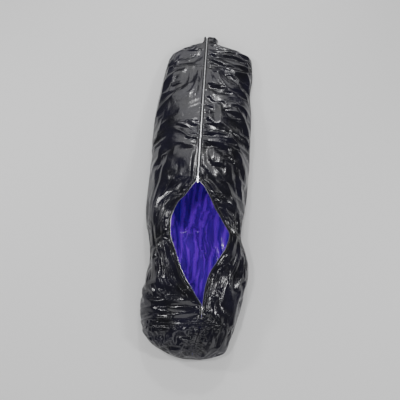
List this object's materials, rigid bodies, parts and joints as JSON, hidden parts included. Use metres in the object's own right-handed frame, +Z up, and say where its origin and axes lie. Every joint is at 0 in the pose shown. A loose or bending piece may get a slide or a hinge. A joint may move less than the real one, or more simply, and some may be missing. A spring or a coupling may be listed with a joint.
{
  "type": "infrared sauna blanket",
  "caption": "Padded zip-fronted bag with a blue lining, closed from the neck to a slider at mid length and open below it over the legs.",
  "frame": {"origin": "on the floor under the middle of the bag, which lies on its back", "axes": "+Y along the bag towards its head, +Z up, +X towards the right side seen from above with the head away"},
  "size_m": [0.6355, 2.2, 0.2627],
  "materials": {
    "black_pvc": "glossy",
    "blue_pvc": "glossy",
    "batting": "fibrous, matte",
    "carbon_film": "satin film",
    "zip_tape": "woven, matte",
    "wire_sleeve": "silicone sleeve",
    "black_nylon": "moulded, satin",
    "brass": "bright",
    "steel": "bright",
    "nickel": "plated"
  },
  "bodies": {
    "blanket": {"base_batting": "batting", "base_heater_lower": "carbon_film", "base_heater_middle": "carbon_film", "base_heater_upper": "carbon_film", "base_lining": "blue_pvc", "base_outer_shell": "black_pvc", "bottom_stop": "nickel", "cross_lead": "carbon_film", "foot_batting": "batting", "foot_lining": "blue_pvc", "foot_shell": "black_pvc", "inlet_housing": "black_nylon", "inlet_pin_1": "brass", "inlet_pin_2": "brass", "inlet_pin_3": "brass", "inlet_screw_1": "steel", "inlet_screw_2": "steel", "left_chest_batting": "batting", "left_front_heater": "carbon_film", "left_front_shell": "black_pvc", "left_hip_batting": "batting", "left_lining": "blue_pvc", "left_rim_lead": "wire_sleeve", "left_shin_batting": "batting", "left_thigh_batting": "batting", "left_top_stop": "nickel", "left_yoke_batting": "batting", "left_yoke_shell": "black_pvc", "left_zip_tape": "zip_tape", "left_zip_teeth": "nickel", "loom_to_foot": "wire_sleeve", "loom_to_lower_cutout": "wire_sleeve", "loom_to_middle_cutout": "wire_sleeve", "loom_to_upper_cutout": "wire_sleeve", "neck_collar": "black_pvc", "right_chest_batting": "batting", "right_front_heater": "carbon_film", "right_front_shell": "black_pvc", "right_hip_batting": "batting", "right_lining": "blue_pvc", "right_shin_batting": "batting", "right_thigh_batting": "batting", "right_top_stop": "nickel", "right_yoke_batting": "batting", "right_yoke_shell": "black_pvc", "right_zip_tape": "zip_tape", "right_zip_teeth": "nickel", "thermal_cutout_lower": "black_nylon", "thermal_cutout_middle": "black_nylon", "thermal_cutout_upper": "black_nylon"},
    "upper_slider": {"upper_slider": "nickel"},
    "upper_pull": {"upper_pull_tab": "nickel"},
    "lower_slider": {"lower_slider": "nickel"},
    "lower_pull": {"lower_pull_tab": "nickel"}
  },
  "joints": [
    {"name": "upper_slider_slide", "type": "slide", "parent": "blanket", "child": "upper_slider", "axis": [0, 0.9889, -0.1483], "range_m": [0, 1.219]},
    {"name": "upper_pull_hinge", "type": "hinge", "parent": "upper_slider", "child": "upper_pull", "pos_m": [-0.01, -0.13567, 0.25638], "axis": [-1, 0, 0], "range_deg": [0, 175]},
    {"name": "lower_slider_slide", "type": "slide", "parent": "blanket", "child": "lower_slider", "axis": [0, -0.9929, -0.1191], "range_m": [0, 0.034]},
    {"name": "lower_pull_hinge", "type": "hinge", "parent": "lower_slider", "child": "lower_pull", "pos_m": [0.055, -0.86628, 0.20633], "axis": [-1, 0, 0], "range_deg": [0, 175]}
  ]
}
